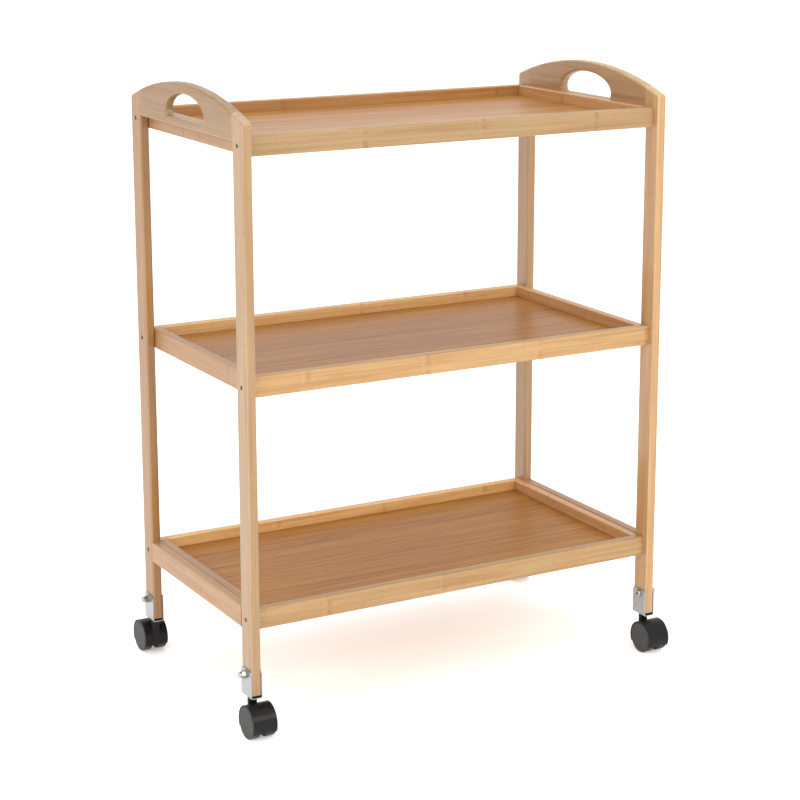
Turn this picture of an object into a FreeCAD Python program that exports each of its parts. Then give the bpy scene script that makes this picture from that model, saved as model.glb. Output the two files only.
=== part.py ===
"""Three-tier rolling utility cart in bamboo on four twin-wheel casters.

Frame: X runs along the cart's length, Y from front to rear, Z up from the floor.
The origin is on the floor, at the middle of the cart. Sizes are in millimetres.
Pieces that repeat at the four corners are made once, for the rear right corner
(+X, +Y), and mirrored to the others.
"""
import FreeCAD, Part
import math
import os

Vector = FreeCAD.Vector
os.makedirs("parts", exist_ok=True)

# ---------------------------------------------------------------- overall
frame_width = 560.0          # X, over the outer faces of the posts
frame_depth = 316.0          # Y, over the front and rear faces of the posts
total_height = 733.0         # floor to the top of the handle arch

# ---------------------------------------------------------------- side frames
post_width = 12.0            # X
post_depth = 27.0            # Y
post_ease = 2.8              # rounding of the posts' and boards' edges
arch_rise = 28.5             # arch top above its ends, before the corners are rounded
arch_corner_radius = 4.5     # rounding of the arch's front and rear corners
handle_height = 51.0         # arch top down to the lower edge of the board
hand_hole_length = 111.0     # Y
hand_hole_drop = 12.8        # arch top down to the top of the hand hole
hand_hole_height = 29.2
hand_hole_corner = 6.0       # lower corners of the hand hole
stretcher_inset = 0.5        # inner face behind the posts' inner faces
stretcher_height = 25.0      # Z
stretcher_ease = 1.5

# ---------------------------------------------------------------- trays
tray_names = ["bottom", "middle", "top"]
bottom_tray_height = 137.0   # floor to the middle of the bottom tray's rails
middle_tray_height = 409.0   # floor to the middle of the middle tray's rails
top_tray_drop = 54.5         # arch top down to the middle of the top tray's rails
tray_setback = 8.0           # posts' front face to the front rail's face
rail_height = 24.0
long_rail_thickness = 12.0   # front and rear rails, Y
end_rail_thickness = 11.0    # end rails, X
rail_ease = 1.5
panel_lift = 5.0             # rails' lower edges up to the panel's underside
panel_thickness = 6.0
panel_gap = 0.25             # panel's raised field to the rails
tongue_thickness = 3.0
tongue_length = 3.0          # how far the tongue reaches into the rails
groove_clearance = 0.1       # round the tongue, on each side

# ---------------------------------------------------------------- joinery
side_dowel_diameter = 6.0
side_dowel_in_board = 16.0   # depth of the dowel in the boards and stretchers
handle_dowel_heights = [7.0, 16.5]      # above the lower edge of the board
stretcher_dowel_offset = 7.0            # above and below the stretcher's middle
tray_dowel_diameter = 4.0
tray_dowel_in_end_rail = 12.0
tray_dowel_in_long_rail = 7.0
tray_dowel_inset = 4.5       # outer face of the end rail to the dowel's axis
dowel_clearance = 0.05       # on the radius
dowel_hole_extra = 0.4       # holes are this much deeper than the dowels
hole_wall = 1.2              # least wood left between two holes that cross over
dowel_row_gap = 2.6          # wood between a tray screw and the dowels beside it

screw_diameter = 3.5
screw_head_diameter = 5.2
screw_head_height = 2.8
screw_socket_width = 2.5     # across the flats
screw_socket_depth = 1.8
screw_in_rail = 28.0         # how far the thread reaches into a rail's end
screw_point = 1.2            # chamfer at the screw's tip
counterbore_diameter = 5.6
counterbore_depth = 3.6
bolt_hole_clearance = 0.15   # on the radius, for screws in posts and clamp bolts

# ---------------------------------------------------------------- caster clamps
pad_thickness = 3.0
bracket_thickness = 1.2
bracket_leg_height = 29.5    # above the post's lower end
bracket_leg_margin = 0.6     # leg's edge to the post's front and rear faces
bracket_corner_radius = 4.0  # upper corners of the legs
bracket_bend_radius = 2.0
clamp_bolt_height = 23.5     # above the post's lower end
clamp_bolt_diameter = 5.0
clamp_head_diameter = 10.0
clamp_head_height = 2.8
clamp_head_round = 1.7       # rounding of the head's rim
clamp_socket_width = 3.5
clamp_socket_depth = 1.6
washer_diameter = 10.6
washer_thickness = 1.0
nut_width = 8.0              # across the flats
nut_height = 4.4
nut_dome_diameter = 6.6
nut_dome_height = 4.6
nut_dome_round = 2.8         # rounding of the dome's rim
thread_clearance = 0.03      # on the radius, for clamp bolts and tray screws

# ---------------------------------------------------------------- casters
wheel_diameter = 38.0
wheel_width = 11.2
wheel_edge_radius = 1.2
wheel_hub_diameter = 9.0
wheel_rim_thickness = 3.2
wheel_disc_thickness = 3.0
caster_width = 30.5          # over the outer faces of the two wheels
axle_diameter = 4.0
axle_in_wheel = 8.0
axle_bore_extra = 0.5        # wheel bore deeper than the axle reaches
running_clearance = 0.05     # on the radius, for the wheels and the stem
fixed_clearance = 0.02       # on the radius, for the axle in the hood
wheel_side_gap = 0.4         # wheel to the hood's web
hood_gap = 0.4               # wheel tread to the inside of the hood
hood_thickness = 1.2
hood_side_inset = 0.3        # hood's rim behind the wheels' outer faces
hood_opening_height = 10.0   # floor to the hood's lower edge
neck_diameter = 11.0
neck_height = 4.6            # top of the hood to the top of the neck
neck_gap = 0.4               # neck to the bracket
stem_diameter = 5.0
stem_depth = 22.0            # below the bracket
stem_head_diameter = 9.0
stem_head_height = 2.0
stem_head_clearance = 0.4
ring_depth = 6.5             # underside of the bracket down to the snap ring
ring_thickness = 1.0
ring_outer_diameter = 6.6
ring_groove_diameter = 4.0
ring_clearance = 0.35        # ring to its groove in the hood

# ---------------------------------------------------------------- derived places
outer_x = frame_width / 2
inner_x = outer_x - post_width
post_x = outer_x - post_width / 2
stretcher_inner_x = inner_x + stretcher_inset
outer_y = frame_depth / 2
post_inner_y = outer_y - post_depth
post_y = outer_y - post_depth / 2
arch_radius = (outer_y ** 2 + arch_rise ** 2) / (2 * arch_rise)
handle_bottom = total_height - handle_height
tray_face_y = outer_y - tray_setback
rail_inner_y = tray_face_y - long_rail_thickness
rail_y = tray_face_y - long_rail_thickness / 2
end_rail_inner_x = inner_x - end_rail_thickness
top_tray_height = total_height - top_tray_drop
tray_heights = [bottom_tray_height, middle_tray_height, top_tray_height]
post_dowel_depth = rail_y - counterbore_diameter / 2 - hole_wall - post_inner_y
tray_dowel_offset = (screw_diameter + tray_dowel_diameter) / 2 + dowel_row_gap
wheel_radius = wheel_diameter / 2
cavity_radius = wheel_radius + hood_gap
hood_radius = cavity_radius + hood_thickness
axle_y = post_y + hood_radius - neck_diameter / 2
plate_bottom = wheel_radius + hood_radius + neck_height + neck_gap
plate_top = plate_bottom + bracket_thickness
post_foot_height = plate_top + pad_thickness
clamp_z = post_foot_height + clamp_bolt_height
web_half = caster_width / 2 - wheel_width - wheel_side_gap
corners = {"front_left": (-1, -1), "rear_left": (-1, 1),
           "front_right": (1, -1), "rear_right": (1, 1)}


# ---------------------------------------------------------------- shape helpers
def block(x0, x1, y0, y1, z0, z1):
    return Part.makeBox(x1 - x0, y1 - y0, z1 - z0, Vector(x0, y0, z0))


def rod_x(x0, x1, y, z, diameter):
    return Part.makeCylinder(diameter / 2, x1 - x0, Vector(x0, y, z), Vector(1, 0, 0))


def rod_y(y0, y1, x, z, diameter):
    return Part.makeCylinder(diameter / 2, y1 - y0, Vector(x, y0, z), Vector(0, 1, 0))


def rod_z(z0, z1, x, y, diameter):
    return Part.makeCylinder(diameter / 2, z1 - z0, Vector(x, y, z0), Vector(0, 0, 1))


def hex_x(x0, x1, y, z, width):
    """Hexagonal bar along X, with the given width across its flats."""
    radius = width / math.sqrt(3)
    angles = [math.radians(60 * i) for i in range(7)]
    corner_points = [Vector(x0, y + radius * math.cos(a), z + radius * math.sin(a)) for a in angles]
    return Part.Face(Part.makePolygon(corner_points)).extrude(Vector(x1 - x0, 0, 0))


def mirrored(shape, side_x, side_y):
    """The rear right piece, mirrored to the corner with these signs."""
    if side_x < 0:
        shape = shape.mirror(Vector(0, 0, 0), Vector(1, 0, 0))
    if side_y < 0:
        shape = shape.mirror(Vector(0, 0, 0), Vector(0, 1, 0))
    return shape


def all_corners(shape):
    return [mirrored(shape, sx, sy) for sx, sy in corners.values()]


def middle(edge):
    return edge.valueAt((edge.FirstParameter + edge.LastParameter) / 2)


def straight_edges(shape, direction):
    """Edges that are straight lines along the given axis, 'x', 'y' or 'z'."""
    unit = {"x": Vector(1, 0, 0), "y": Vector(0, 1, 0), "z": Vector(0, 0, 1)}[direction]
    lines = [e for e in shape.Edges if isinstance(e.Curve, Part.Line)]
    return [e for e in lines if abs(abs(e.tangentAt(e.FirstParameter).dot(unit)) - 1) < 1e-6]


def face_outline(shape, x):
    """Edges that lie in the plane at this X."""
    flat = []
    for edge in shape.Edges:
        ends = [vertex.Point.x for vertex in edge.Vertexes] + [middle(edge).x]
        if max(abs(value - x) for value in ends) < 1e-6:
            flat.append(edge)
    return flat


def save(name, solids):
    shape = solids[0] if len(solids) == 1 else Part.makeCompound(solids)
    shape.exportStep("parts/" + name + ".step")


# ---------------------------------------------------------------- side frames
def arch_z(y):
    """Height of the arch above the floor at this Y."""
    return total_height - arch_radius + math.sqrt(arch_radius ** 2 - y ** 2)


def under_arch(x0, x1, y0, y1, z0):
    """Board between y0 and y1 whose top follows the arch."""
    low_left = Vector(x0, y0, z0)
    low_right = Vector(x0, y1, z0)
    top_right = Vector(x0, y1, arch_z(y1))
    top_left = Vector(x0, y0, arch_z(y0))
    mid_y = (y0 + y1) / 2
    edges = [Part.LineSegment(low_left, low_right).toShape(),
             Part.LineSegment(low_right, top_right).toShape(),
             Part.Arc(top_right, Vector(x0, mid_y, arch_z(mid_y)), top_left).toShape(),
             Part.LineSegment(top_left, low_left).toShape()]
    return Part.Face(Part.Wire(edges)).extrude(Vector(x1 - x0, 0, 0))


def side_dowel_places():
    """X, Z of every dowel between a post and the pieces that join two posts."""
    places = [(post_x, handle_bottom + height) for height in handle_dowel_heights]
    for offset in (-stretcher_dowel_offset, stretcher_dowel_offset):
        places.append((post_x, bottom_tray_height + offset))
    return places


def side_dowel(x, z, extra=0.0, clearance=0.0):
    """Dowel across the joint at the rear post, or with extra and clearance its hole."""
    y0 = post_inner_y - side_dowel_in_board - extra
    y1 = post_inner_y + post_dowel_depth + extra
    return rod_y(y0, y1, x, z, side_dowel_diameter + 2 * clearance)


def side_dowel_holes():
    holes = [side_dowel(x, z, dowel_hole_extra, dowel_clearance) for x, z in side_dowel_places()]
    return Part.makeCompound(holes)


def post():
    """Rear right post: straight below the handle board, cut to the arch above it."""
    lower = block(inner_x, outer_x, post_inner_y, outer_y, post_foot_height, handle_bottom)
    lower = lower.makeFillet(post_ease, straight_edges(lower, "z"))
    upper = under_arch(inner_x, outer_x, post_inner_y, outer_y, handle_bottom)
    tip = [e for e in straight_edges(upper, "x")
           if abs(middle(e).y - outer_y) < 1e-6 and middle(e).z > handle_bottom + 1]
    upper = upper.makeFillet(arch_corner_radius, tip)
    rim = [e for x in (inner_x, outer_x) for e in face_outline(upper, x)
           if middle(e).y > post_inner_y + 1e-3 and middle(e).z > handle_bottom + 1e-3]
    upper = upper.makeFillet(post_ease, rim)
    body = lower.fuse(upper).removeSplitter()
    cuts = [side_dowel_holes()]
    for z in tray_heights:
        cuts.append(rod_x(inner_x - 1, outer_x + 1, rail_y, z, screw_diameter + 2 * bolt_hole_clearance))
        cuts.append(rod_x(outer_x - counterbore_depth, outer_x + 1, rail_y, z, counterbore_diameter))
    clamp_hole = clamp_bolt_diameter + 2 * bolt_hole_clearance
    cuts.append(rod_x(inner_x - 1, outer_x + 1, post_y, clamp_z, clamp_hole))
    return body.cut(cuts)


def hand_hole():
    """Prism through the handle board: flat below, half an ellipse above."""
    half = hand_hole_length / 2
    z0 = total_height - hand_hole_drop - hand_hole_height
    z1 = total_height - hand_hole_drop
    r = hand_hole_corner
    bend = r * (1 - math.sqrt(0.5))
    x = inner_x - 1

    def point(y, z):
        return Vector(x, y, z)

    arch = Part.Ellipse(point(half, z0 + r), point(0, z1), point(0, z0 + r))
    edges = [
        Part.LineSegment(point(-half + r, z0), point(half - r, z0)).toShape(),
        Part.Arc(point(half - r, z0), point(half - bend, z0 + bend), point(half, z0 + r)).toShape(),
        Part.ArcOfEllipse(arch, 0, math.pi).toShape(),
        Part.Arc(point(-half, z0 + r), point(-half + bend, z0 + bend), point(-half + r, z0)).toShape(),
    ]
    return Part.Face(Part.Wire(edges)).extrude(Vector(post_width + 2, 0, 0))


def handle_board():
    """Right handle board, between the two right posts."""
    board = under_arch(inner_x, outer_x, -post_inner_y, post_inner_y, handle_bottom)
    board = board.cut(hand_hole())
    rim = [e for x in (inner_x, outer_x) for e in face_outline(board, x)
           if abs(abs(middle(e).y) - post_inner_y) > 1e-3]
    board = board.makeFillet(post_ease, rim)
    return board.cut([mirrored(side_dowel_holes(), 1, side) for side in (-1, 1)])


def stretcher():
    """Right stretcher, level with the bottom tray."""
    half = stretcher_height / 2
    bar = block(stretcher_inner_x, outer_x, -post_inner_y, post_inner_y,
                bottom_tray_height - half, bottom_tray_height + half)
    bar = bar.makeFillet(stretcher_ease, straight_edges(bar, "y"))
    return bar.cut([mirrored(side_dowel_holes(), 1, side) for side in (-1, 1)])


def side_frames():
    for name, (sx, sy) in corners.items():
        save(name + "_post", [mirrored(post(), sx, sy)])
    for name, side in (("left", -1), ("right", 1)):
        save(name + "_handle_board", [mirrored(handle_board(), side, 1)])
        save(name + "_stretcher", [mirrored(stretcher(), side, 1)])
    dowels = [side_dowel(x, z) for x, z in side_dowel_places()]
    save("side_frame_dowels", [copy for dowel in dowels for copy in all_corners(dowel)])


# ---------------------------------------------------------------- trays
def panel_bottom(z):
    return z - rail_height / 2 + panel_lift


def tongue_block(z, clearance=0.0):
    """The tongue all round the panel, or with clearance the groove that it sits in."""
    x = end_rail_inner_x + tongue_length + clearance
    y = rail_inner_y + tongue_length + clearance
    z0 = panel_bottom(z)
    return block(-x, x, -y, y, z0 - clearance, z0 + tongue_thickness + clearance)


def tray_dowel(z, extra=0.0, clearance=0.0):
    y0 = rail_inner_y - tray_dowel_in_end_rail - extra
    y1 = rail_inner_y + tray_dowel_in_long_rail + extra
    x = inner_x - tray_dowel_inset
    return rod_y(y0, y1, x, z, tray_dowel_diameter + 2 * clearance)


def tray_dowel_holes(z):
    """Dowel holes of all four corners of one tray."""
    holes = []
    for offset in (-tray_dowel_offset, tray_dowel_offset):
        holes += all_corners(tray_dowel(z + offset, dowel_hole_extra, dowel_clearance))
    return holes


def long_rail(z):
    """Rear rail of the tray whose rails are centred at z."""
    half = rail_height / 2
    rail = block(-inner_x, inner_x, rail_inner_y, tray_face_y, z - half, z + half)
    rail = rail.makeFillet(rail_ease, straight_edges(rail, "x"))
    pilot_hole = rod_x(inner_x - screw_in_rail - dowel_hole_extra, inner_x + 1, rail_y, z,
                       screw_diameter + 2 * thread_clearance)
    cuts = [tongue_block(z, groove_clearance)] + tray_dowel_holes(z)
    cuts += [mirrored(pilot_hole, side, 1) for side in (-1, 1)]
    return rail.cut(cuts)


def end_rail(z):
    """Right end rail of the tray whose rails are centred at z."""
    half = rail_height / 2
    rail = block(end_rail_inner_x, inner_x, -rail_inner_y, rail_inner_y, z - half, z + half)
    rail = rail.makeFillet(rail_ease, straight_edges(rail, "y"))
    return rail.cut([tongue_block(z, groove_clearance)] + tray_dowel_holes(z))


def panel(z):
    """Panel with a raised field between the rails and a tongue round its lower half."""
    x = end_rail_inner_x - panel_gap
    y = rail_inner_y - panel_gap
    z0 = panel_bottom(z)
    field = block(-x, x, -y, y, z0, z0 + panel_thickness)
    return field.fuse(tongue_block(z)).removeSplitter()


def tray_screw(z):
    """Screw from the rear right post's outer face into the end of the rear rail."""
    seat = outer_x - counterbore_depth
    tip = inner_x - screw_in_rail
    shank = rod_x(tip, seat, rail_y, z, screw_diameter)
    point = [e for e in shank.Edges if len(e.Vertexes) == 1 and middle(e).x < tip + 1e-3]
    shank = shank.makeChamfer(screw_point, point)
    head = rod_x(seat, seat + screw_head_height, rail_y, z, screw_head_diameter)
    socket = hex_x(seat + screw_head_height - screw_socket_depth, seat + screw_head_height + 1,
                   rail_y, z, screw_socket_width)
    return shank.fuse(head).removeSplitter().cut(socket)


def trays():
    dowels = []
    screws = []
    for name, z in zip(tray_names, tray_heights):
        save(name + "_tray_rear_rail", [long_rail(z)])
        save(name + "_tray_front_rail", [mirrored(long_rail(z), 1, -1)])
        save(name + "_tray_right_end_rail", [end_rail(z)])
        save(name + "_tray_left_end_rail", [mirrored(end_rail(z), -1, 1)])
        save(name + "_tray_panel", [panel(z)])
        for offset in (-tray_dowel_offset, tray_dowel_offset):
            dowels += all_corners(tray_dowel(z + offset))
        screws += all_corners(tray_screw(z))
    save("tray_corner_dowels", dowels)
    save("tray_screws", screws)


# ---------------------------------------------------------------- caster clamps
def bracket():
    """U bracket: a plate under the pad and a leg on each face of the post."""
    t = bracket_thickness
    y0 = post_inner_y + bracket_leg_margin
    y1 = outer_y - bracket_leg_margin
    top = post_foot_height + bracket_leg_height
    outside = block(inner_x - t, outer_x + t, y0, y1, plate_bottom, top)
    bends = [e for e in straight_edges(outside, "y") if middle(e).z < plate_top]
    outside = outside.makeFillet(bracket_bend_radius, bends)
    ears = [e for e in straight_edges(outside, "x") if middle(e).z > top - 1e-3]
    outside = outside.makeFillet(bracket_corner_radius, ears)
    inside = block(inner_x, outer_x, y0 - 1, y1 + 1, plate_top, top + 1)
    bolt_hole = rod_x(inner_x - t - 1, outer_x + t + 1, post_y, clamp_z,
                      clamp_bolt_diameter + 2 * bolt_hole_clearance)
    stem_hole = rod_z(plate_bottom - 1, plate_top + 1, post_x, post_y,
                      stem_diameter + 2 * fixed_clearance)
    return outside.cut([inside, bolt_hole, stem_hole])


def pad():
    """Pad between the post's end and the bracket, with room for the stem's head."""
    shape = block(inner_x, outer_x, post_inner_y, outer_y, plate_top, post_foot_height)
    shape = shape.makeFillet(post_ease, straight_edges(shape, "z"))
    room = stem_head_diameter + 2 * stem_head_clearance
    return shape.cut(rod_z(plate_top - 1, post_foot_height + 1, post_x, post_y, room))


def clamp_bolt():
    """Bolt with its head on the inner leg and its thread in the cap nut."""
    seat = inner_x - bracket_thickness
    tip = outer_x + bracket_thickness + washer_thickness + nut_height
    shank = rod_x(seat, tip, post_y, clamp_z, clamp_bolt_diameter)
    head = rod_x(seat - clamp_head_height, seat, post_y, clamp_z, clamp_head_diameter)
    rim = [e for e in head.Edges if len(e.Vertexes) == 1 and middle(e).x < seat - 1e-3]
    head = head.makeFillet(clamp_head_round, rim)
    socket = hex_x(seat - clamp_head_height - 1, seat - clamp_head_height + clamp_socket_depth,
                   post_y, clamp_z, clamp_socket_width)
    return shank.fuse(head).removeSplitter().cut(socket)


def clamp_washer():
    x0 = outer_x + bracket_thickness
    disc = rod_x(x0, x0 + washer_thickness, post_y, clamp_z, washer_diameter)
    hole = rod_x(x0 - 1, x0 + washer_thickness + 1, post_y, clamp_z,
                 clamp_bolt_diameter + 2 * bolt_hole_clearance)
    return disc.cut(hole)


def cap_nut():
    """Hexagon nut with a domed cap, blind from the washer's side."""
    x0 = outer_x + bracket_thickness + washer_thickness
    x1 = x0 + nut_height
    dome = rod_x(x1, x1 + nut_dome_height, post_y, clamp_z, nut_dome_diameter)
    rim = [e for e in dome.Edges if len(e.Vertexes) == 1 and middle(e).x > x1 + 1e-3]
    dome = dome.makeFillet(nut_dome_round, rim)
    nut = hex_x(x0, x1, post_y, clamp_z, nut_width).fuse(dome).removeSplitter()
    thread = rod_x(x0 - 1, x1 + thread_clearance, post_y, clamp_z,
                   clamp_bolt_diameter + 2 * thread_clearance)
    return nut.cut(thread)


# ---------------------------------------------------------------- casters
def stem():
    """Swivel pin with its riveted head on the bracket's plate."""
    pin = rod_z(plate_bottom - stem_depth, plate_top, post_x, post_y, stem_diameter)
    head = rod_z(plate_top, plate_top + stem_head_height, post_x, post_y, stem_head_diameter)
    ring_top = plate_bottom - ring_depth
    groove = rod_z(ring_top - ring_thickness, ring_top, post_x, post_y, stem_diameter + 1)
    core = rod_z(ring_top - ring_thickness, ring_top, post_x, post_y, ring_groove_diameter)
    return pin.fuse(head).removeSplitter().cut(groove.cut(core))


def snap_ring():
    """Ring in the stem's groove that keeps the hood on the stem."""
    ring_top = plate_bottom - ring_depth
    disc = rod_z(ring_top - ring_thickness, ring_top, post_x, post_y, ring_outer_diameter)
    return disc.cut(rod_z(0, plate_top, post_x, post_y, ring_groove_diameter))


def hood():
    """Hood over both wheels, with the web between them and the neck for the stem."""
    half = caster_width / 2 - hood_side_inset
    shell = rod_x(post_x - half, post_x + half, axle_y, wheel_radius, 2 * hood_radius)
    neck = rod_z(wheel_radius, plate_bottom - neck_gap, post_x, post_y, neck_diameter)
    body = shell.fuse(neck).removeSplitter()
    below = block(post_x - caster_width, post_x + caster_width, axle_y - wheel_diameter,
                  axle_y + wheel_diameter, -wheel_diameter, hood_opening_height)
    cuts = [below]
    for side in (-1, 1):
        x0, x1 = sorted((post_x + side * web_half, post_x + side * caster_width))
        cuts.append(rod_x(x0, x1, axle_y, wheel_radius, 2 * cavity_radius))
    bore = stem_diameter + 2 * running_clearance
    cuts.append(rod_z(plate_bottom - stem_depth - neck_gap, plate_bottom, post_x, post_y, bore))
    ring_top = plate_bottom - ring_depth
    cuts.append(rod_z(ring_top - ring_thickness - ring_clearance, ring_top + ring_clearance,
                      post_x, post_y, ring_outer_diameter + 2 * ring_clearance))
    cuts.append(rod_x(post_x - caster_width, post_x + caster_width, axle_y, wheel_radius,
                      axle_diameter + 2 * fixed_clearance))
    return body.cut(cuts)


def axle():
    reach = web_half + wheel_side_gap + axle_in_wheel
    return rod_x(post_x - reach, post_x + reach, axle_y, wheel_radius, axle_diameter)


def wheel():
    """Outer wheel: a closed disc outside, hollow inside, with a blind bore in its hub."""
    x1 = post_x + caster_width / 2
    x0 = x1 - wheel_width
    tyre = rod_x(x0, x1, axle_y, wheel_radius, wheel_diameter)
    tyre = tyre.makeFillet(wheel_edge_radius, [e for e in tyre.Edges if len(e.Vertexes) == 1])
    recess_diameter = wheel_diameter - 2 * wheel_rim_thickness
    recess = rod_x(x0 - 1, x1 - wheel_disc_thickness, axle_y, wheel_radius, recess_diameter)
    hub = rod_x(x0 - 2, x1, axle_y, wheel_radius, wheel_hub_diameter)
    bore = rod_x(x0 - 1, x0 + axle_in_wheel + axle_bore_extra, axle_y, wheel_radius,
                 axle_diameter + 2 * running_clearance)
    return tyre.cut([recess.cut(hub), bore])


def casters():
    outer = wheel()
    inner = outer.mirror(Vector(post_x, 0, 0), Vector(1, 0, 0))
    single = {"caster_bracket": bracket(), "post_pad": pad(), "caster_stem": stem(),
              "caster_hood": hood(), "wheel_axle": axle(), "outer_wheel": outer,
              "inner_wheel": inner}
    for name, (sx, sy) in corners.items():
        for piece, shape in single.items():
            save(name + "_" + piece, [mirrored(shape, sx, sy)])
    save("clamp_bolts", all_corners(clamp_bolt()))
    save("clamp_washers", all_corners(clamp_washer()))
    save("clamp_cap_nuts", all_corners(cap_nut()))
    save("stem_snap_rings", all_corners(snap_ring()))


side_frames()
trays()
casters()
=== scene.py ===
"""Looks for the rolling utility cart: bamboo, metal, rubber and plastic materials on the CAD frame."""

import bpy
from mathutils import Matrix, Vector

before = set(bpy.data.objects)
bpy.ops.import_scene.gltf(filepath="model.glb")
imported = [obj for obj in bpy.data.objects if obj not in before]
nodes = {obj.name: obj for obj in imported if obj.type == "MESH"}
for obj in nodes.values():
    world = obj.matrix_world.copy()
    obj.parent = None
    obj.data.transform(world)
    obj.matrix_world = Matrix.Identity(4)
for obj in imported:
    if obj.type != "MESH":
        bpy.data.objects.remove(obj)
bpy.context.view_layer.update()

CORNERS = ("front_left", "rear_left", "front_right", "rear_right")
SIDES = ("left", "right")
TRAYS = ("bottom", "middle", "top")


# ---------------------------------------------------------------- node helpers
class Graph:
    """The node tree of one new material, with short calls that add and link nodes."""

    def __init__(self, name):
        self.material = bpy.data.materials.new(name)
        self.material.use_nodes = True
        self.tree = self.material.node_tree
        self.shader = self.tree.nodes["Principled BSDF"]

    def add(self, kind, inputs, **settings):
        """A node of this kind; each input is a plain value or another node's output."""
        node = self.tree.nodes.new(kind)
        for key, value in settings.items():
            setattr(node, key, value)
        for key, value in inputs.items():
            self.feed(node.inputs[key], value)
        return node

    def feed(self, socket, value):
        if isinstance(value, bpy.types.NodeSocket):
            self.tree.links.new(value, socket)
        else:
            socket.default_value = value

    def math(self, operation, a, b=0.0):
        return self.add("ShaderNodeMath", {0: a, 1: b}, operation=operation).outputs[0]

    def join(self, x, y, z):
        return self.add("ShaderNodeCombineXYZ", {0: x, 1: y, 2: z}).outputs[0]

    def noise(self, vector, scale=1.0, detail=2.0, roughness=0.5):
        inputs = {"Vector": vector, "Scale": scale, "Detail": detail, "Roughness": roughness}
        return self.add("ShaderNodeTexNoise", inputs).outputs["Fac"]

    def chance(self, value):
        """Random number from 0 to 1 for this value."""
        return self.add("ShaderNodeTexWhiteNoise", {"W": value}, noise_dimensions="1D").outputs["Value"]

    def span(self, value, low, high, to_low=0.0, to_high=1.0):
        """Maps low..high smoothly to to_low..to_high and clamps outside."""
        inputs = {0: value, 1: low, 2: high, 3: to_low, 4: to_high}
        node = self.add("ShaderNodeMapRange", inputs, interpolation_type="SMOOTHSTEP")
        return node.outputs[0]

    def mix(self, amount, first, second, blend="MIX"):
        node = self.add("ShaderNodeMix", {}, data_type="RGBA", blend_type=blend)
        colour_inputs = [s for s in node.inputs if s.type == "RGBA"]
        self.feed(node.inputs["Factor"], amount)
        self.feed(colour_inputs[0], first)
        self.feed(colour_inputs[1], second)
        return [s for s in node.outputs if s.type == "RGBA"][0]

    def axes(self):
        """X, Y and Z in the object's own frame, in metres."""
        place = self.add("ShaderNodeTexCoord", {}).outputs["Object"]
        return self.add("ShaderNodeSeparateXYZ", {0: place}).outputs

    def bump(self, height, distance, strength=1.0):
        inputs = {"Height": height, "Distance": distance, "Strength": strength}
        self.feed(self.shader.inputs["Normal"], self.add("ShaderNodeBump", inputs).outputs[0])

    def surface(self, **values):
        """Sets inputs of the shader, with underscores for spaces in their names."""
        for key, value in values.items():
            self.feed(self.shader.inputs[key.replace("_", " ")], value)


def rgb(red, green, blue):
    """Linear colour from the usual 0 to 255 screen values."""
    def linear(value):
        value /= 255
        return value / 12.92 if value <= 0.04045 else ((value + 0.055) / 1.055) ** 2.4
    return (linear(red), linear(green), linear(blue), 1.0)


def paint(names, material):
    """Gives these nodes this one material."""
    for name in names:
        slots = nodes[name].data.materials
        slots.clear()
        slots.append(material)
        for face in nodes[name].data.polygons:
            face.material_index = 0


# ---------------------------------------------------------------- bamboo
def lowest(name, axis):
    """Smallest coordinate of this node's mesh along the axis, in metres."""
    return min(vertex.co[axis] for vertex in nodes[name].data.vertices)


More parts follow.
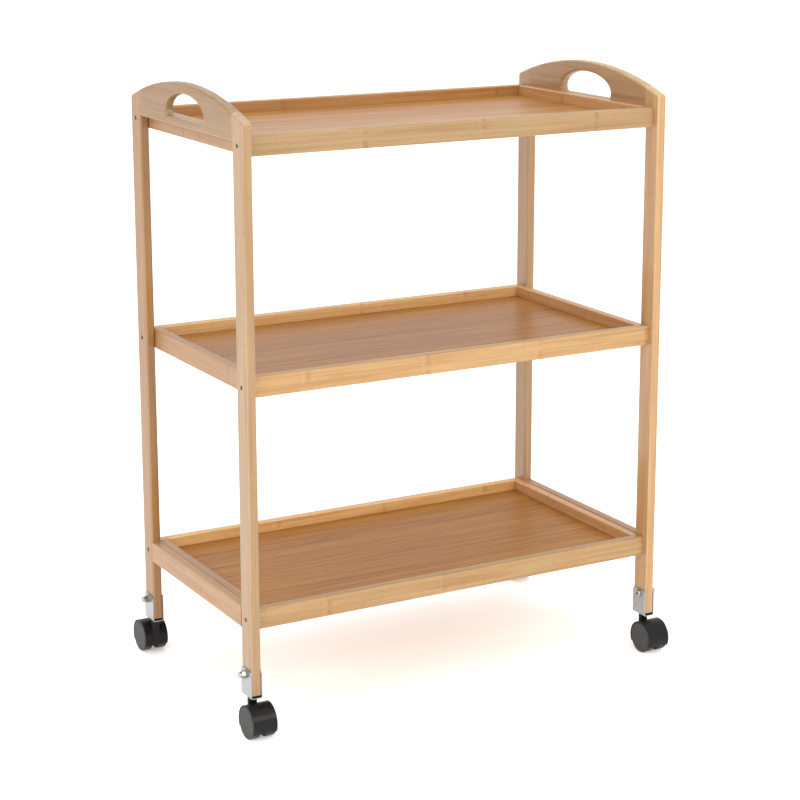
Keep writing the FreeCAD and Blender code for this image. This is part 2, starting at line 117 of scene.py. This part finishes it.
def bamboo(name, along, across, strip_width, layer, seed, light, dark, knuckle_pitch=0.16,
           knuckle_strength=0.6, contrast=1.0, roughness=0.45, gloss=0.5, coat=0.25, coat_roughness=0.3,
           seam_strength=0.4):
    """Paints a node with laminated bamboo: strips with their own tone, fibres and growth nodes.

    along is the axis that the fibres follow, and across is the axis over which the strips lie
    side by side. layer is the thickness of the layers in the third direction. Growth nodes come
    every knuckle_pitch metres along a strip. seed gives each piece its own grain.
    """
    g = Graph(name + "_bamboo")
    place = g.axes()
    run = place[along]
    depth = 3 - along - across
    cross = g.math("SUBTRACT", place[across], lowest(name, across))
    third = g.math("SUBTRACT", place[depth], lowest(name, depth))

    def seam_of(value, width):
        """1 on the glue line between two strips of this width, 0 elsewhere."""
        lane = g.math("FRACT", g.math("ADD", g.math("DIVIDE", value, width), 0.5))
        return g.span(g.math("ABSOLUTE", g.math("SUBTRACT", lane, 0.5)), 0.00045 / width, 0.00012 / width)

    strip = g.math("FLOOR", g.math("DIVIDE", cross, strip_width))
    sheet = g.math("FLOOR", g.math("DIVIDE", third, layer))
    strip_key = g.math("ADD", g.math("ADD", strip, g.math("MULTIPLY", sheet, 7.31)), seed * 17.31)
    strip_chance = g.chance(strip_key)
    seam = g.math("MAXIMUM", seam_of(cross, strip_width), seam_of(third, layer))

    # fibres: noise drawn out along the run, in several sizes
    shifted = g.math("ADD", run, g.math("MULTIPLY", strip_chance, 3.7 + seed))

    def streaks(crosswise, lengthwise, detail):
        return g.noise(g.join(g.math("MULTIPLY", shifted, lengthwise), g.math("MULTIPLY", cross, crosswise),
                              g.math("MULTIPLY", third, crosswise)), detail=detail)

    cloud = streaks(60.0, 9.0, 3.0)
    hue = streaks(150.0, 6.0, 2.0)
    broad = streaks(260.0, 5.0, 3.0)
    fine = streaks(700.0, 17.0, 3.0)
    hair = streaks(2000.0, 50.0, 2.0)
    fleck = g.span(streaks(2400.0, 110.0, 0.0), 0.64, 0.76)

    # growth nodes: a thin wavy line with a soft brown side, broken up across the strip
    wave = g.math("MULTIPLY", g.noise(g.join(strip_chance, g.math("MULTIPLY", cross, 210.0),
                                             g.math("MULTIPLY", third, 210.0))), 0.006)
    spot = g.math("DIVIDE", g.math("ADD", g.math("ADD", shifted, wave), 5.0), knuckle_pitch)
    from_knuckle = g.math("MULTIPLY", g.math("SUBTRACT", g.math("FRACT", spot), 0.5), knuckle_pitch)
    patch = g.span(g.noise(g.join(g.math("MULTIPLY", g.math("FLOOR", spot), 5.3),
                                  g.math("MULTIPLY", cross, 95.0), g.math("MULTIPLY", third, 95.0)),
                           detail=1.0), 0.44, 0.60, 0.06, 1.0)
    speckle = g.span(streaks(900.0, 300.0, 2.0), 0.36, 0.62, 0.35, 1.0)
    line = g.math("MULTIPLY", g.span(g.math("ABSOLUTE", from_knuckle), 0.0010, 0.0002), patch)
    offset = g.math("ABSOLUTE", g.math("SUBTRACT", from_knuckle, 0.0018))
    halo = g.math("MULTIPLY", g.math("MULTIPLY", g.span(offset, 0.0052, 0.0006), patch), speckle)
    pale = g.span(g.math("ABSOLUTE", g.math("ADD", from_knuckle, 0.0046)), 0.0030, 0.0006)

    tone = g.math("ADD", g.math("MULTIPLY", g.span(broad, 0.34, 0.66), 0.42), g.math("MULTIPLY", fine, 0.5))
    tone = g.math("ADD", tone, g.math("MULTIPLY", g.span(cloud, 0.3, 0.7), 0.22))
    tone = g.math("ADD", tone, g.math("MULTIPLY", g.math("SUBTRACT", strip_chance, 0.5), 0.30))
    tone = g.math("ADD", g.math("MULTIPLY", g.math("SUBTRACT", tone, 0.57), contrast), 0.5)
    colour = g.mix(tone, light, dark)
    green = (light[0] * 0.90, light[1] * 1.00, light[2] * 0.84, 1.0)
    rosy = (light[0] * 1.00, light[1] * 0.94, light[2] * 0.92, 1.0)
    colour = g.mix(g.span(hue, 0.50, 0.66, 0.0, 0.42), colour, green)
    colour = g.mix(g.span(hue, 0.50, 0.36, 0.0, 0.38), colour, rosy)
    colour = g.mix(g.math("MULTIPLY", g.span(hair, 0.45, 0.72), 0.22 * contrast), colour, dark)
    warm = (dark[0] * 0.86, dark[1] * 0.64, dark[2] * 0.46, 1.0)
    deep = tuple(channel * 0.42 for channel in dark[:3]) + (1.0,)
    colour = g.mix(g.math("MULTIPLY", fleck, 0.20 * contrast), colour, deep)
    colour = g.mix(g.math("MULTIPLY", pale, 0.22 * knuckle_strength), colour, light)
    colour = g.mix(g.math("MULTIPLY", halo, 0.80 * knuckle_strength), colour, warm)
    colour = g.mix(g.math("MULTIPLY", line, 0.45 * knuckle_strength), colour, warm)
    colour = g.mix(g.math("MULTIPLY", seam, seam_strength), colour, warm)

    relief = g.math("ADD", g.math("MULTIPLY", fine, 0.5), g.math("MULTIPLY", hair, 0.35))
    relief = g.math("SUBTRACT", relief, g.math("MULTIPLY", seam, 0.5))
    relief = g.math("SUBTRACT", relief, g.math("MULTIPLY", line, 0.3))
    relief = g.math("SUBTRACT", relief, g.math("MULTIPLY", fleck, 0.25))
    g.bump(relief, 0.00012, 0.35)
    rough = g.math("ADD", roughness - 0.06, g.math("MULTIPLY", fine, 0.14))
    g.surface(Base_Color=colour, Roughness=rough, Coat_Weight=coat, Coat_Roughness=coat_roughness,
              Coat_IOR=1.5, Specular_IOR_Level=gloss)
    paint([name], g.material)


X, Y, Z = 0, 1, 2

# widths of the strips and thicknesses of the layers that each piece is glued up from, in metres
POST_STRIP = 0.00905
BOARD_STRIP = 0.0172
STRETCHER_STRIP = 0.0126
RAIL_STRIP = 0.0241
PANEL_STRIP = 0.0183
LAYER = 0.0061
END_RAIL_LAYER = 0.0056
PANEL_LAYER = 0.02

POST_LIGHT = rgb(176, 149, 111)
POST_DARK = rgb(146, 111, 68)
BOARD_LIGHT = rgb(170, 142, 104)
BOARD_DARK = rgb(136, 102, 62)
RAIL_LIGHT = rgb(192, 165, 120)
RAIL_DARK = rgb(158, 120, 68)
END_LIGHT = rgb(182, 148, 107)
END_DARK = rgb(148, 106, 62)
PANEL_LIGHT = rgb(172, 119, 50)
PANEL_DARK = rgb(134, 83, 26)

# How light or dark each piece is against the colours above, set so that it renders as light as in
# the photo. Part of this stands in for the photo's light, not for the wood's own colour.
POST_TONE = {"front_left": 0.96, "rear_left": 0.76, "front_right": 1.36, "rear_right": 1.0}
# How much more orange each post is painted: on the rear posts this is painted warm bounce light in their
# shade.
POST_PAINTED_BOUNCE_WARMTH = {"front_left": 0.0, "rear_left": 1.0, "front_right": 0.0, "rear_right": 0.2}
BOARD_TONE = {"left": 0.84, "right": 1.16}
RAIL_TONE = {"bottom_front": 0.94, "middle_front": 1.12, "top_front": 0.78,
             "bottom_rear": 1.6, "middle_rear": 1.46, "top_rear": 0.86}
END_TONE = {"left": 0.94, "right": 1.5}
PANEL_COAT = {"bottom": 0.0, "middle": 0.14, "top": 0.2}


def toned(colour, amount, warmth=0.0):
    """The colour times amount, and with warmth more orange."""
    red, green, blue = (channel * amount for channel in colour[:3])
    return (red * (1.0 + 0.12 * warmth), green * (1.0 - 0.10 * warmth), blue * (1.0 - 0.42 * warmth), 1.0)


def dress_side_frames():
    for index, corner in enumerate(CORNERS):
        tone = POST_TONE[corner]
        warmth = POST_PAINTED_BOUNCE_WARMTH[corner]
        bamboo(corner + "_post", Z, Y, POST_STRIP, LAYER, 1.0 + index, toned(POST_LIGHT, tone, warmth),
               toned(POST_DARK, tone, warmth), knuckle_pitch=0.31, knuckle_strength=0.3, contrast=1.25,
               coat=0.5, coat_roughness=0.16)
    for index, side in enumerate(SIDES):
        tone = BOARD_TONE[side]
        bamboo(side + "_handle_board", Y, Z, BOARD_STRIP, LAYER, 11.0 + index, toned(BOARD_LIGHT, tone),
               toned(BOARD_DARK, tone), knuckle_pitch=0.23, knuckle_strength=0.45, contrast=1.25)
        bamboo(side + "_stretcher", Y, Z, STRETCHER_STRIP, LAYER, 14.0 + index, END_LIGHT, END_DARK,
               knuckle_pitch=0.21, knuckle_strength=0.5, contrast=1.2)


def dress_trays():
    for level, tray in enumerate(TRAYS):
        for index, place in enumerate(("front", "rear")):
            tone = RAIL_TONE[f"{tray}_{place}"]
            # The top tray's rear rail is painted more orange: painted warm bounce light in its shade.
            warmth = 1.0 if (tray, place) == ("top", "rear") else 0.0
            bamboo(f"{tray}_tray_{place}_rail", X, Z, RAIL_STRIP, LAYER, 20.0 + 2 * level + index,
                   toned(RAIL_LIGHT, tone, warmth), toned(RAIL_DARK, tone, warmth),
                   knuckle_pitch=0.155, knuckle_strength=0.8, contrast=1.4)
        for index, side in enumerate(SIDES):
            tone = END_TONE[side]
            bamboo(f"{tray}_tray_{side}_end_rail", Y, Z, RAIL_STRIP, END_RAIL_LAYER,
                   30.0 + 2 * level + index, toned(END_LIGHT, tone), toned(END_DARK, tone),
                   knuckle_pitch=0.135, knuckle_strength=0.8, contrast=1.25)
        bamboo(tray + "_tray_panel", X, Y, PANEL_STRIP, PANEL_LAYER, 40.0 + level, PANEL_LIGHT, PANEL_DARK,
               knuckle_pitch=0.24, knuckle_strength=0.3, contrast=1.4, roughness=0.42, gloss=0.22,
               coat=PANEL_COAT[tray], coat_roughness=0.22, seam_strength=0.1)


def dowel_wood():
    """Plain beech with short flecks, for the dowels inside the joints."""
    g = Graph("dowel_beech")
    x, y, z = g.axes()
    grain = g.noise(g.join(g.math("MULTIPLY", x, 900.0), g.math("MULTIPLY", y, 60.0),
                           g.math("MULTIPLY", z, 900.0)), detail=3.0)
    colour = g.mix(g.span(grain, 0.35, 0.7), rgb(226, 196, 158), rgb(196, 156, 112))
    g.bump(grain, 0.0001, 0.4)
    g.surface(Base_Color=colour, Roughness=g.span(grain, 0.3, 0.7, 0.6, 0.75))
    return g.material


# ---------------------------------------------------------------- metal, rubber and plastic
def metal(name, light, dark, roughness, stretch, bump=0.00004):
    """Plated or drawn steel: cloudy tone, and fine marks drawn out by stretch along X, Y, Z."""
    g = Graph(name)
    x, y, z = g.axes()
    cloud = g.noise(g.join(x, y, z), scale=260.0, detail=4.0, roughness=0.6)
    marks = g.noise(g.join(g.math("MULTIPLY", x, stretch[0]), g.math("MULTIPLY", y, stretch[1]),
                           g.math("MULTIPLY", z, stretch[2])), detail=4.0, roughness=0.65)
    colour = g.mix(g.span(cloud, 0.3, 0.7), light, dark)
    g.bump(marks, bump, 0.4)
    g.surface(Base_Color=colour, Metallic=1.0,
              Roughness=g.span(marks, 0.25, 0.75, roughness - 0.08, roughness + 0.1))
    return g.material


def moulded(name, colour, worn, roughness, grain=1500.0, bump=0.00006, gloss=0.2):
    """Moulded plastic or rubber: fine spark-eroded grain and slight clouding."""
    g = Graph(name)
    x, y, z = g.axes()
    place = g.join(x, y, z)
    fine = g.noise(place, scale=grain, detail=2.0)
    cloud = g.noise(place, scale=90.0, detail=3.0)
    tint = g.mix(g.span(cloud, 0.3, 0.75), colour, worn)
    g.bump(fine, bump, 0.5)
    g.surface(Base_Color=tint, Roughness=g.span(fine, 0.3, 0.7, roughness - 0.06, roughness + 0.08),
              Specular_IOR_Level=gloss)
    return g.material


def dress_hardware():
    zinc = metal("bright_zinc", rgb(174, 178, 181), rgb(162, 167, 171), 0.36, (300.0, 1400.0, 300.0),
                 bump=0.00002)
    nickel = metal("nickel_plate", rgb(188, 182, 176), rgb(160, 152, 146), 0.2, (900.0, 900.0, 900.0),
                   bump=0.00002)
    drawn = metal("drawn_steel", rgb(160, 160, 162), rgb(120, 121, 124), 0.38, (1200.0, 1200.0, 120.0))
    dull = metal("dull_zinc", rgb(150, 138, 126), rgb(120, 108, 98), 0.42, (900.0, 900.0, 900.0))
    rubber = moulded("pad_rubber", rgb(10, 9, 9), rgb(15, 14, 13), 0.75, grain=900.0, gloss=0.08)
    hood = moulded("hood_nylon", rgb(10, 10, 11), rgb(18, 18, 19), 0.36, gloss=0.22)
    # The wheels' grey, lighter than the black hood, is painted sheen: light caught on the faces of black
    # nylon wheels.
    wheel = moulded("wheel_nylon_painted_sheen", rgb(53, 53, 53), rgb(61, 61, 61), 0.5, grain=1900.0, gloss=0.25)
    paint(["side_frame_dowels", "tray_corner_dowels"], dowel_wood())
    paint(["tray_screws"], dull)
    paint(["clamp_bolts", "clamp_cap_nuts"], nickel)
    paint(["clamp_washers"], zinc)
    paint(["stem_snap_rings"], drawn)
    for corner in CORNERS:
        paint([corner + "_caster_bracket"], zinc)
        paint([corner + "_post_pad"], rubber)
        paint([corner + "_caster_stem", corner + "_wheel_axle"], drawn)
        paint([corner + "_caster_hood"], hood)
        paint([corner + "_outer_wheel", corner + "_inner_wheel"], wheel)


# ---------------------------------------------------------------- stage, light and camera
def build_floor():
    size = 60.0
    mesh = bpy.data.meshes.new("floor")
    corners = [(-size, -size, 0.0), (size, -size, 0.0), (size, size, 0.0), (-size, size, 0.0)]
    mesh.from_pydata(corners, [], [(0, 1, 2, 3)])
    floor = bpy.data.objects.new("floor", mesh)
    bpy.context.scene.collection.objects.link(floor)
    g = Graph("floor_paper")
    x, y, z = g.axes()
    shade = g.noise(g.join(x, y, z), scale=1.5, detail=3.0)
    g.surface(Base_Color=g.mix(shade, rgb(250, 250, 249), rgb(247, 247, 247)), Roughness=0.9,
              Specular_IOR_Level=0.1, Emission_Color=(1.0, 1.0, 1.0, 1.0), Emission_Strength=0.3)
    mesh.materials.append(g.material)


def area_light(name, place, target, size, power, colour=(1.0, 1.0, 1.0)):
    """Square soft box at this place, facing the target."""
    lamp = bpy.data.lights.new(name, "AREA")
    lamp.shape = "SQUARE"
    lamp.size = size
    lamp.energy = power
    lamp.color = colour
    box = bpy.data.objects.new(name, lamp)
    bpy.context.scene.collection.objects.link(box)
    box.location = place
    direction = Vector(target) - Vector(place)
    box.rotation_euler = direction.to_track_quat("-Z", "Y").to_euler()


def build_light():
    world = bpy.data.worlds.new("studio")
    world.use_nodes = True
    background = world.node_tree.nodes["Background"]
    background.inputs["Color"].default_value = (1.0, 1.0, 1.0, 1.0)
    background.inputs["Strength"].default_value = 1.15
    bpy.context.scene.world = world
    centre = (0.0, 0.0, 0.4)
    area_light("key", (0.7, -2.8, 1.9), centre, 1.2, 38.0, (1.0, 0.95, 0.82))
    area_light("left_fill", (-1.7, -0.5, 0.8), centre, 0.7, 9.0, (0.97, 0.98, 1.0))
    area_light("top", (0.0, 0.3, 3.0), centre, 2.0, 14.0)


def build_camera():
    """Camera left of the front, a little above the top tray, with its roll and shift."""
    data = bpy.data.cameras.new("camera")
    data.sensor_width = 36.0
    data.lens = 95.1
    data.shift_x = -0.0521
    data.shift_y = -0.075
    data.clip_end = 200.0
    camera = bpy.data.objects.new("camera", data)
    bpy.context.scene.collection.objects.link(camera)
    place = Vector((-1.2276, -2.219, 0.9866))
    forward = Vector((0.48914, 0.84291, -0.22417)).normalized()
    right = Vector((0.86524, -0.50135, 0.00282))
    right = (right - right.dot(forward) * forward).normalized()
    up = right.cross(forward)
    turn = Matrix((right, up, -forward)).transposed().to_4x4()
    camera.matrix_world = Matrix.Translation(place) @ turn
    bpy.context.scene.camera = camera
    bpy.context.scene.view_settings.view_transform = "Standard"


dress_side_frames()
dress_trays()
dress_hardware()
build_floor()
build_light()
build_camera()
